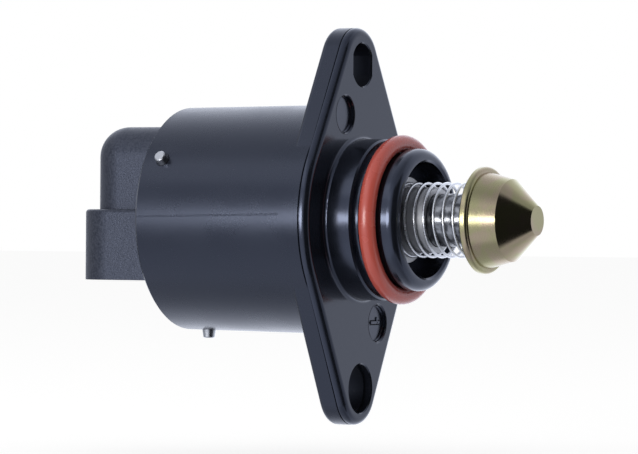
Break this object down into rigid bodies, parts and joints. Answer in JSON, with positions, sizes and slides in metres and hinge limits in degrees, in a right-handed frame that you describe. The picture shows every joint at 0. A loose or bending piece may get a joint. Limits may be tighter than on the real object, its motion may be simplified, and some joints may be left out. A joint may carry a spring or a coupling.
{
  "type": "idle air control valve",
  "caption": "Stepper-driven idle air valve: black barrel with a two-eared flange, red sealing ring on a stepped nose, sprung conical pintle and a downward plug socket behind.",
  "frame": {"origin": "where the valve's axis meets the flange's mounting face", "axes": "+X along the valve's axis towards the pintle's tip, +Z towards the flange ear with the slot; the connector opens towards -Z"},
  "size_m": [0.072, 0.0332, 0.0567],
  "materials": {
    "housing_plastic": "satin moulded, near black",
    "connector_plastic": "fine grain",
    "ring_rubber": "smooth, red-brown",
    "seal_rubber": "smooth",
    "pintle_plating": "yellow passivated zinc, turned",
    "bright_steel": "bright",
    "sleeve_steel": "turned",
    "stator_steel": "pressed sheet",
    "bobbin_plastic": "moulded",
    "copper_wire": "enamelled, wound",
    "magnet_ferrite": "ground",
    "brass": "turned",
    "bush_bronze": "sintered",
    "terminal_tin": "tin plated"
  },
  "bodies": {
    "valve_body": {"housing": "housing_plastic", "mounting_o_ring": "ring_rubber", "connector_cap": "connector_plastic", "terminals": "terminal_tin", "cap_seal": "seal_rubber", "retaining_pins": "bright_steel", "front_stator_cup": "stator_steel", "front_stator_pole_plate": "stator_steel", "rear_stator_cup": "stator_steel", "rear_stator_pole_plate": "stator_steel", "front_bobbin": "bobbin_plastic", "rear_bobbin": "bobbin_plastic", "front_winding": "copper_wire", "rear_winding": "copper_wire", "front_bush": "bush_bronze", "rear_bush": "bush_bronze", "thrust_washer": "bright_steel", "guide_sleeve": "sleeve_steel", "pintle_spring": "bright_steel"},
    "rotor": {"rotor_magnet": "magnet_ferrite", "rotor_nut": "brass"},
    "pintle_shaft": {"lead_screw": "bright_steel", "pintle": "pintle_plating"}
  },
  "joints": [
    {"name": "rotor_spin", "type": "hinge", "parent": "valve_body", "child": "rotor", "pos_m": [0, 0, 0], "axis": [1, 0, 0], "range_deg": [0, 2880]},
    {"name": "pintle_slide", "type": "slide", "parent": "valve_body", "child": "pintle_shaft", "axis": [1, 0, 0], "range_m": [-0.008, 0], "deforming": ["pintle_spring"]}
  ],
  "couplings": [
    {"joint": "rotor_spin", "follows": "pintle_slide", "rad_per_m": -6283.2}
  ]
}
